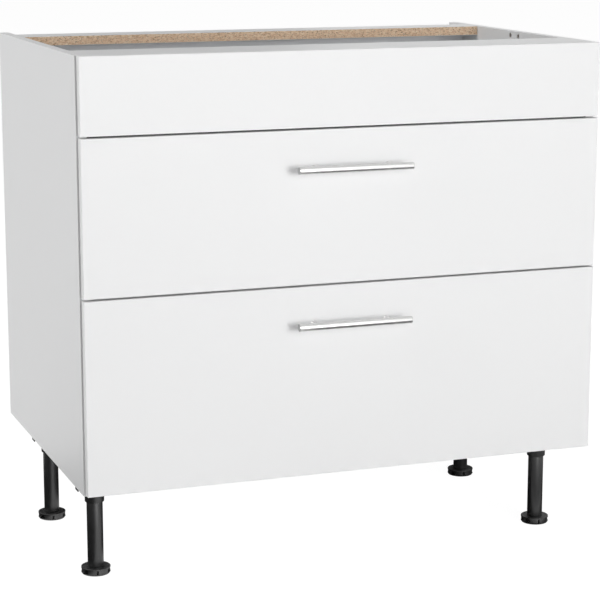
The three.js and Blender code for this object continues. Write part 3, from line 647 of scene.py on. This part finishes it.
# ---- Drawer boxes ----------------------------------------------------------------------------------
# White chipboard bottom and back between two double-walled steel sides in a light grey coat.
# Each side is folded from one sheet: it is closed on top and carries the bottom on a flange.
COAT = (0.565, 0.575, 0.585, 1)
COAT_SHADED = (0.54, 0.55, 0.56, 1)
COAT_CLOUD = 0.2
PEEL_SIZE = 0.0013
PEEL_SWING = 0.1
PEEL_RELIEF = (0.2, 0.0001)
SIDE_ROUGHNESS = 0.42
RAIL_ROUGHNESS = 0.36
SIDE_STEEL = 0.0012
SIDE_BEND = 0.003
SIDE_FOLD = 0.0018
SIDE_FOOT = 0.006
SIDE_WIDTH = 0.018
RAIL_RADIUS = 0.005
RAIL_EASE = 0.0006
RAIL_STEPS = 48
CAP_RADIUS = 0.007
CAP_LENGTH = 0.009
RAIL_CUP_BORE = 0.0053
RAIL_CUP_EASE = 0.0004
RAIL_CUP_BELOW_TOP = 0.009
CONNECTOR_STEEL = 0.0018
CONNECTOR_HEIGHT = 0.056
CONNECTOR_FOOT_CORNER = 0.002
CONNECTOR_HEAD_CORNER = 0.005


def powder_coated(name, pale, shaded, roughness):
    material, tree, place = new_finish(name)
    peel = noise(tree, place, PEEL_SIZE)
    cloud = noise(tree, place, COAT_CLOUD)
    surface(tree, {
        "Base Color": cloud.mix(shaded, pale),
        "Roughness": roughness + swing(peel, PEEL_SWING),
        "Normal": bumped(tree, peel, *PEEL_RELIEF),
    })
    return material


def drawn_back(outline, front, rear, corners):
    """A flat outline of (x, z) points drawn from front to rear, its corners (x, z, radius) rounded."""
    bm = raised(outline, front, rear)
    for x, z, radius in corners:
        corner = upright_edges(bm, lambda a, b: math.hypot(a - x, b - z) < SAME_PLACE)
        rounded(bm, corner, radius)
    turn = Matrix(((1, 0, 0), (0, 0, 1), (0, 1, 0)))
    bmesh.ops.rotate(bm, cent=(0, 0, 0), matrix=turn, verts=bm.verts)
    bmesh.ops.recalc_face_normals(bm, faces=bm.faces)
    return bm


def double_wall(low, high):
    """The folded side on the right: open below between its walls, its flange turned inwards."""
    t = SIDE_STEEL
    out, foot, inner, flange = high.x, high.x - SIDE_FOOT, high.x - SIDE_WIDTH, low.x
    under, top = low.z, high.z
    outline = [(foot, under), (out, under), (out, top), (inner, top), (inner, under + t),
               (flange, under + t), (flange, under), (inner + t, under), (inner + t, top - t),
               (out - t, top - t), (out - t, under + t), (foot, under + t)]
    bends = ((out, top, SIDE_BEND), (inner, top, SIDE_BEND),
             (inner + t, top - t, SIDE_BEND - t), (out - t, top - t, SIDE_BEND - t),
             (out, under, SIDE_FOLD), (out - t, under + t, SIDE_FOLD - t),
             (inner + t, under, SIDE_FOLD), (inner, under + t, SIDE_FOLD - t))
    return drawn_back(outline, low.y, high.y, bends)


def front_connector(low, high, side_top):
    """Plate on the front, with the channel that plugs into the side and the gallery rail's cup."""
    t = CONNECTOR_STEEL
    head = side_top - SIDE_BEND
    channel = raised([(high.x, low.y), (low.x, low.y), (low.x, high.y), (low.x + t, high.y),
                      (low.x + t, low.y + t), (high.x - t, low.y + t), (high.x - t, high.y),
                      (high.x, high.y)], head - CONNECTOR_HEIGHT, head)
    corners = ((low.x, low.z, CONNECTOR_FOOT_CORNER), (high.x, low.z, CONNECTOR_FOOT_CORNER),
               (low.x, high.z, CONNECTOR_HEAD_CORNER), (high.x, high.z, CONNECTOR_HEAD_CORNER))
    tower = drawn_back([(low.x, low.z), (high.x, low.z), (high.x, high.z), (low.x, high.z)],
                       low.y, low.y + t, corners)
    cup = turned([(RAIL_CUP_BORE, t / 2), (CAP_RADIUS, t / 2), (CAP_RADIUS, t + CAP_LENGTH),
                  (RAIL_CUP_BORE, t + CAP_LENGTH)], closed=True, steps=RAIL_STEPS)
    soften(cup, RAIL_CUP_EASE)
    swung(cup, -QUARTER_TURN, "X")
    moved(cup, ((low.x + high.x) / 2, low.y, high.z - RAIL_CUP_BELOW_TOP))
    return combined(channel, [tower, cup], "UNION")


side_coat = powder_coated("side_coat", COAT, COAT_SHADED, SIDE_ROUGHNESS)
rail_coat = powder_coated("rail_coat", COAT, COAT_SHADED, RAIL_ROUGHNESS)
for level in ("upper", "lower"):
    body = f"{level}_drawer"
    for panel, thin, raw in (
        ("box_bottom", "Z", ("+Y", "-X", "+X")),
        ("box_back", "Y", ("-Z", "-X", "+X")),
    ):
        node = f"{level}_{panel}"
        clad(node, board(node, thin, raw, MELAMINE, MELAMINE_SHADED, MELAMINE_ROUGHNESS))
    for side in ("left", "right"):
        mirrored = side == "left"
        low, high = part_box(f"{level}_box_side_right")
        side_top = high.z
        wall = moved(double_wall(low, high), (0, 0, 0), mirrored)
        made_piece(f"{level}_side_{side}", wall, side_coat, body,
                   [f"{level}_box_side_{side}"])
        low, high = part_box(f"{level}_front_connector_right")
        plate = moved(front_connector(low, high, side_top), (0, 0, 0), mirrored)
        made_piece(f"{level}_connector_{side}", plate, bracket_zinc, body,
                   [f"{level}_front_connector_{side}"])
        low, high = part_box(f"{level}_gallery_rail_{side}")
        middle = (low + high) / 2
        cap = high.y - CAP_LENGTH
        rail = turned([(0, low.y), (RAIL_RADIUS, low.y), (RAIL_RADIUS, cap), (CAP_RADIUS, cap),
                       (CAP_RADIUS, high.y), (0, high.y)], steps=RAIL_STEPS)
        soften(rail, RAIL_EASE)
        swung(rail, -QUARTER_TURN, "X")
        moved(rail, (middle.x, 0, middle.z))
        made_piece(f"{level}_gallery_{side}", rail, rail_coat, body,
                   [f"{level}_gallery_rail_{side}"])

# ---- Screws ----------------------------------------------------------------------------------------
# Zinc-plated screws with a cross recess: round heads under the leg plates and on the brackets and
# connectors, and flat ones in the ears of the runners, where the drawer sides pass close by.
HEAD_SEAT = 0.0002
HEAD_PROFILE = ((1, 0.4), (0.8, 0.8), (0.45, 1), (0, 1))
HEAD_STEPS = 24
CROSS_REACH = 0.5
CROSS_HALF = 0.13
CROSS_FLOOR = 0.35
SCREW_ROUGHNESS = 0.28
LEG_SCREW_SPREAD = 0.023
LEG_SCREW_HEAD = (0.0038, 0.0022)
BRACKET_STEEL = 0.002
BRACKET_SCREW_ROWS = (0.015, 0.045)
BRACKET_SCREW_REACH = 0.0232
BRACKET_SCREW_HEAD = (0.0042, 0.0022)
RUNNER_STEEL = 0.0015
RUNNER_SCREW_HEIGHT = 0.024
RUNNER_SCREW_PLACES = (0.028, 0.225, 0.422)
RUNNER_SCREW_HEAD = (0.0042, 0.0009)
CONNECTOR_SCREW_DROP = 0.040
CONNECTOR_SCREW_HEAD = (0.0036, 0.002)

screw_zinc = zinc_plated("screw_zinc", SCREW_ROUGHNESS)


def domed(radius, height, profile, seat, steps):
    """A dome: its profile in shares of radius and height, sunk by seat into what carries it."""
    points = [(radius * across, height * up) for across, up in profile]
    return turned([(0, -seat), (radius, -seat), *points], steps=steps)


def screw_heads(name, places, out, size, body):
    """Heads with a cross recess, one at each place, that face the way of the vector out."""
    radius, height = size
    arm, slim = radius * CROSS_REACH, radius * CROSS_HALF
    bars = [raised([(-x, -y), (x, -y), (x, y), (-x, y)], height * CROSS_FLOOR, height * 2)
            for x, y in ((arm, slim), (slim, arm))]
    head = domed(radius, height, HEAD_PROFILE, HEAD_SEAT, HEAD_STEPS)
    head = combined(head, bars, "DIFFERENCE")
    turn = Vector((0, 0, 1)).rotation_difference(Vector(out)).to_matrix()
    bmesh.ops.rotate(head, cent=(0, 0, 0), matrix=turn, verts=head.verts)
    heads = bmesh.new()
    for place in places:
        heads = added(heads, moved(head.copy(), place))
    head.free()
    made_piece(name, heads, screw_zinc, body)


for corner, axis in leg_axes.items():
    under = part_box(f"{corner}_leg_socket")[1].z - LEG_PLATE_THICKNESS
    places = [axis + Vector((x, y, under)) for x in (-LEG_SCREW_SPREAD, LEG_SCREW_SPREAD)
              for y in (-LEG_SCREW_SPREAD, LEG_SCREW_SPREAD)]
    screw_heads(f"{corner}_leg_screws", places, (0, 0, -1), LEG_SCREW_HEAD, "carcass")
for side, hand in (("left", -1), ("right", 1)):
    inwards = (-hand, 0, 0)
    low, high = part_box("blind_bracket_right")
    wall = high.x - BRACKET_STEEL
    middle = (low.x + high.x - BRACKET_STEEL) / 2
    face = low.y + BRACKET_STEEL
    places = [(hand * middle, face, low.z + row) for row in BRACKET_SCREW_ROWS]
    screw_heads(f"blind_front_screws_{side}", places, (0, 1, 0), BRACKET_SCREW_HEAD, "carcass")
    reach = low.y + BRACKET_SCREW_REACH
    places = [(hand * wall, reach, low.z + row) for row in BRACKET_SCREW_ROWS]
    screw_heads(f"bracket_screws_{side}", places, inwards, BRACKET_SCREW_HEAD, "carcass")
    for level in ("upper", "lower"):
        low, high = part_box(f"{level}_runner_cabinet_member_right")
        ear = high.x - RUNNER_STEEL
        height = low.z + RUNNER_SCREW_HEIGHT
        places = [(hand * ear, low.y + along, height) for along in RUNNER_SCREW_PLACES]
        screw_heads(f"{level}_runner_screws_{side}", places, inwards, RUNNER_SCREW_HEAD, "carcass")
        low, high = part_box(f"{level}_front_connector_right")
        middle = (low.x + high.x) / 2
        place = (hand * middle, low.y + CONNECTOR_STEEL, high.z - CONNECTOR_SCREW_DROP)
        screw_heads(f"{level}_connector_screw_{side}", [place], (0, 1, 0), CONNECTOR_SCREW_HEAD,
                    f"{level}_drawer")

# ---- Fronts ----------------------------------------------------------------------------------------
# Smooth white fronts 16 mm thick, foiled on the face and banded all round with eased edges.
# The blind front is fixed. A black strip stuck behind its lower edge is painted shade: it darkens
# the joint below it. The two fronts below are screwed to the drawer sides.
FOIL = (0.885, 0.886, 0.888, 1)
FOIL_SHADED = (0.872, 0.874, 0.877, 1)
FOIL_ROUGHNESS = 0.42
for node in ("blind_front", "upper_front", "lower_front"):
    clad(node, board(node, "Y", (), FOIL, FOIL_SHADED, FOIL_ROUGHNESS))

# Black strip behind the blind front's lower edge: painted shade that darkens the joint below it.
SHADE_STRIP_BLACK = (0.007, 0.007, 0.007, 1)
SHADE_STRIP_WORN = (0.012, 0.012, 0.012, 1)
SHADE_STRIP_ROUGHNESS = 0.7
SHADE_STRIP_SHINE = 0.1
SHADE_STRIP_REACH = 0.4335
SHADE_STRIP_ABOVE = 0.012
SHADE_STRIP_BELOW = 0.008
SHADE_STRIP_FOOT = 0.0015
SHADE_STRIP_LIP = 0.0008
SHADE_STRIP_RELIEF = 0.0004
SHADE_STRIP_STEP = 0.001
SHADE_STRIP_NECK = 0.002
SHADE_STRIP_SHOULDER = 0.003
SHADE_STRIP_EASE = 0.0002


def drawn_across(outline, left, right):
    """A flat outline of (y, z) points drawn from left to right."""
    bm = raised(outline, left, right)
    turn = Matrix(((0, 0, 1), (1, 0, 0), (0, 1, 0)))
    bmesh.ops.rotate(bm, cent=(0, 0, 0), matrix=turn, verts=bm.verts)
    bmesh.ops.recalc_face_normals(bm, faces=bm.faces)
    return bm


# The strip of painted shade, drawn along the lower edge of the blind front.
low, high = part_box("blind_front")
edge, rear = low.z, high.y
lip = rear + SHADE_STRIP_RELIEF
shade_strip = drawn_across([(rear, edge + SHADE_STRIP_ABOVE), (rear, edge + SHADE_STRIP_STEP), (lip, edge - SHADE_STRIP_STEP),
                     (lip, edge - SHADE_STRIP_BELOW), (lip + SHADE_STRIP_LIP, edge - SHADE_STRIP_BELOW),
                     (lip + SHADE_STRIP_LIP, edge + SHADE_STRIP_NECK), (rear + SHADE_STRIP_FOOT, edge + SHADE_STRIP_SHOULDER),
                     (rear + SHADE_STRIP_FOOT, edge + SHADE_STRIP_ABOVE)], -SHADE_STRIP_REACH, SHADE_STRIP_REACH)
soften(shade_strip, SHADE_STRIP_EASE, 1)
shade_strip_finish = moulded("shade_strip_finish", SHADE_STRIP_BLACK, SHADE_STRIP_WORN, SHADE_STRIP_ROUGHNESS, SHADE_STRIP_SHINE)
made_piece("blind_shade_strip", shade_strip, shade_strip_finish, "carcass")

# ---- Buffers ---------------------------------------------------------------------------------------
# Soft cloudy buffers stuck on the front edges of the side panels, near the corners of each drawer
# front. They are moulded as low domes and stop just short of the closed front.
SOFT = (0.62, 0.63, 0.62, 1)
SOFT_CLOUDED = (0.55, 0.56, 0.55, 1)
BUFFER_ROUGHNESS = 0.35
BUFFER_SHINE = 0.5
BUFFER_RADIUS = 0.004
BUFFER_HEIGHT = 0.0026
BUFFER_PROFILE = ((1, 0.35), (0.85, 0.75), (0.5, 1), (0, 1))
BUFFER_SEAT = 0.0001
BUFFER_STEPS = 32
BUFFER_INSET = 0.008
BUFFER_FROM_END = 0.018

buffer_plastic = moulded("buffer_plastic", SOFT, SOFT_CLOUDED, BUFFER_ROUGHNESS, BUFFER_SHINE)
panel_low, panel_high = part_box("side_panel_right")
for level in ("upper", "lower"):
    low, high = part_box(f"{level}_front")
    ends = (("low", low.z + BUFFER_FROM_END), ("high", high.z - BUFFER_FROM_END))
    for side, hand in (("left", -1), ("right", 1)):
        for end, height in ends:
            dome = domed(BUFFER_RADIUS, BUFFER_HEIGHT, BUFFER_PROFILE, BUFFER_SEAT, BUFFER_STEPS)
            swung(dome, QUARTER_TURN, "X")
            moved(dome, (hand * (panel_high.x - BUFFER_INSET), panel_low.y, height))
            made_piece(f"{level}_buffer_{side}_{end}", dome, buffer_plastic, "carcass")

# ---- Handles ---------------------------------------------------------------------------------------
# A round bar of brushed stainless steel on two turned posts. Each post is saddled to the bar and
# held by a machine screw from inside the drawer front.
STEEL = (0.76, 0.757, 0.75, 1)
STEEL_STREAKED = (0.68, 0.677, 0.67, 1)
# The end faces of the bars are painted a darker grey, a painted shade, and are a little rougher.
END_PAINTED_SHADE = (0.42, 0.42, 0.42, 1)
BAR_ROUGHNESS = 0.26
POST_ROUGHNESS = 0.3
STREAK_WIDTH = 0.00035
STREAK_SWING = 0.14
STREAK_RELIEF = (0.12, 0.00004)
STREAKS_ALONG_BAR = (0.02, 1, 1)
STREAKS_ALONG_POST = (1, 0.02, 1)
WEAR_SIZE = 0.03
SAWN_ROUGHER = 0.15
END_SKIN = 0.0009
BAR_CHAMFER = 0.0008
BAR_STEPS = 96
POST_RADIUS = 0.004
POST_FLANGE_RADIUS = 0.005
POST_FLANGE = 0.002
POST_SEAT = 0.0003
POST_EASE = 0.0002
POST_STEPS = 48
SCREW_RADIUS = 0.002
HEAD_RADIUS = 0.004
HEAD_HEIGHT = 0.0022


def brushed(name, along, roughness, ends=1.0):
    """Brushed steel, its streaks drawn out by the factors along.
    Beyond X = ends it is rougher, and painted darker as painted shade.
    """
    material, tree, place = new_finish(name)
    streaks = noise(tree, stretched(tree, place, along), STREAK_WIDTH, 3.0, 0.6)
    wear = noise(tree, place, WEAR_SIZE)
    across = Wire.node(tree, "ShaderNodeSeparateXYZ", {}, {0: place}, "X")
    # The end faces beyond ends get the darker grey: painted shade.
    sawn = (across > ends) | (across < -ends)
    surface(tree, {
        "Base Color": sawn.mix((streaks * 0.8 + wear * 0.2).mix(STEEL_STREAKED, STEEL), END_PAINTED_SHADE),
        "Metallic": 1.0,
        "Roughness": roughness + swing(streaks, STREAK_SWING) + sawn * SAWN_ROUGHER,
        "Normal": bumped(tree, streaks, *STREAK_RELIEF),
    })
    return material


sawn_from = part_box("upper_handle_bar")[1].x - END_SKIN
bar_steel = brushed("bar_steel", STREAKS_ALONG_BAR, BAR_ROUGHNESS, sawn_from)
post_steel = brushed("post_steel", STREAKS_ALONG_POST, POST_ROUGHNESS)
for level in ("upper", "lower"):
    body = f"{level}_drawer"
    low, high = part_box(f"{level}_handle_bar")
    middle = (low + high) / 2
    half = (high.x - low.x) / 2
    radius = (high.z - low.z) / 2
    bar = turned([(0, -half), (radius, -half), (radius, half), (0, half)], steps=BAR_STEPS)
    soften(bar, BAR_CHAMFER, 3)
    swung(bar, QUARTER_TURN, "Y")
    made_piece(f"{level}_bar", moved(bar, middle), bar_steel, body,
               [f"{level}_handle_bar"])
    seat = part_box(f"{level}_front")[0].y - POST_SEAT
    for side in ("left", "right"):
        node = f"{level}_handle_post_{side}"
        low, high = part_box(node)
        head = high.y - HEAD_HEIGHT
        post = turned([(0, middle.y), (POST_RADIUS, middle.y), (POST_RADIUS, seat - POST_FLANGE),
                       (POST_FLANGE_RADIUS, seat - POST_FLANGE / 2), (POST_FLANGE_RADIUS, seat),
                       (SCREW_RADIUS, seat), (SCREW_RADIUS, head), (HEAD_RADIUS, head),
                       (HEAD_RADIUS, head + HEAD_HEIGHT / 2), (HEAD_RADIUS / 2, high.y),
                       (0, high.y)], steps=POST_STEPS)
        swung(post, -QUARTER_TURN, "X")
        for vert in post.verts:
            if abs(vert.co.y - middle.y) < SAME_PLACE:
                vert.co.y += math.sqrt(radius**2 - vert.co.z**2)
        soften(post, POST_EASE)
        moved(post, ((low.x + high.x) / 2, 0, middle.z))
        made_piece(f"{level}_post_{side}", post, post_steel, body, [node])

# ---- Floor and light -------------------------------------------------------------------------------
# A pale studio: a wide floor that keeps the shadow, a faint even sky, and soft lamps low in front,
# at the left and overhead. The cards show only in reflections: the flags darken those in the legs
# and bars, the front card brightens the bars, and the top and back cards calm the upper sides.
FLOOR = (0.82, 0.82, 0.82, 1)
WHITE = (1, 1, 1, 1)
FLOOR_REACH = 60
SKY = 0.06
SHADOW_SHARE = 0.2
FLOOR_GLOW = 1.21
LAMP_AIM = (0, -0.28, 0.55)
# Name, turn from the front and height in degrees, distance, width, and light given to the cabinet.
LAMPS = (
    ("front_near", 19, 2.3, 5, 2.1, 0.24),
    ("front_far", 11, 10, 8, 4.8, 0.455),
    ("left", -88, 25, 8, 5.0, 0.43),
    ("overhead", 0, 105, 8, 5.0, 0.31),
)
# Name, brightness, middle, and half its size.
CARDS = (
    ("under_flag", 0.02, (0.31, 0.155, 0.0005), (0.64, 0.345, 0)),
    ("outer_flag", 0.02, (-0.69, -0.30, 0.0005), (0.26, 0.80, 0)),
    ("left_flag", 0.02, (-0.94, -0.325, 0.16), (0, 0.775, 0.16)),
    ("back_flag", 0.02, (0.375, 0.56, 0.175), (0.825, 0, 0.175)),
    ("bar_flag", 0.16, (0.415, -0.65, 0.0005), (0.435, 0.43, 0)),
    ("front_card", 2.0, (1.75, -4.0, 1.8), (0.85, 0, 1.75)),
    ("top_card", 0.62, (0.5, 1.5, 6.0), (3.5, 3.0, 0)),
    ("back_card", 0.12, (0.9, 4.0, 1.6), (0.6, 0, 0.75)),
)


def seen_directly(tree):
    """1 for what is seen, also by reflection or through glass, and 0 for light on the object."""
    camera_rays, glossy_rays, glass_rays = (
        Wire.node(tree, "ShaderNodeLightPath", {}, {}, kind)
        for kind in ("Is Camera Ray", "Is Glossy Ray", "Is Transmission Ray"))
    return camera_rays | glossy_rays | glass_rays


def staged(name, bm, material):
    """A piece of the studio, which isn't part of the cabinet."""
    thing = placed(name, bm)
    thing.data.materials.append(material)
    thing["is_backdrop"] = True
    return thing


bm = bmesh.new()
bmesh.ops.create_grid(bm, x_segments=1, y_segments=1, size=FLOOR_REACH)
material, tree, place = new_finish("floor")
paper = Wire.node(tree, "ShaderNodeBsdfDiffuse", {}, {"Color": FLOOR})
glow = Wire.node(tree, "ShaderNodeEmission", {}, {"Color": WHITE, "Strength": FLOOR_GLOW})
share = seen_directly(tree) * (1 - SHADOW_SHARE)
mixed = Wire.node(tree, "ShaderNodeMixShader", {}, {0: share, 1: paper, 2: glow})
Wire.node(tree, "ShaderNodeOutputMaterial", {}, {"Surface": mixed})
staged("floor", bm, material)

world = bpy.data.worlds.new("studio")
bpy.context.scene.world = world
world.use_nodes = True
tree = world.node_tree
tree.nodes.clear()
light = Wire.node(tree, "ShaderNodeBackground", {}, {"Color": WHITE, "Strength": SKY})
white = Wire.node(tree, "ShaderNodeBackground", {}, {"Color": WHITE, "Strength": 1.0})
mixed = Wire.node(tree, "ShaderNodeMixShader", {}, {0: seen_directly(tree), 1: light, 2: white})
Wire.node(tree, "ShaderNodeOutputWorld", {}, {"Surface": mixed})

for name, turn, height, distance, size, share in LAMPS:
    lamp = bpy.data.lights.new(name, "AREA")
    lamp.shape = "DISK"
    lamp.size = size
    lamp.energy = share * (math.pi * distance)**2
    turn, height = math.radians(turn), math.radians(height)
    away = Vector((math.sin(turn) * math.cos(height), -math.cos(turn) * math.cos(height),
                   math.sin(height)))
    stand = bpy.data.objects.new(name, lamp)
    stand.location = Vector(LAMP_AIM) + away * distance
    stand.rotation_euler = away.to_track_quat("Z", "Y").to_euler()
    bpy.context.scene.collection.objects.link(stand)

for name, shade, middle, half in CARDS:
    material, tree, place = new_finish(name)
    matt = Wire.node(tree, "ShaderNodeEmission", {}, {"Color": WHITE, "Strength": shade})
    Wire.node(tree, "ShaderNodeOutputMaterial", {}, {"Surface": matt})
    bm = bmesh.new()
    bmesh.ops.create_cube(bm, size=2)
    bmesh.ops.scale(bm, vec=half, verts=bm.verts)
    bmesh.ops.translate(bm, vec=middle, verts=bm.verts)
    bmesh.ops.remove_doubles(bm, verts=bm.verts, dist=SAME_PLACE)
    card = staged(name, bm, material)
    card.visible_camera = False
    card.visible_diffuse = False
    card.visible_shadow = False
    card.visible_transmission = False

# ---- Size ------------------------------------------------------------------------------------------
low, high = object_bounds()
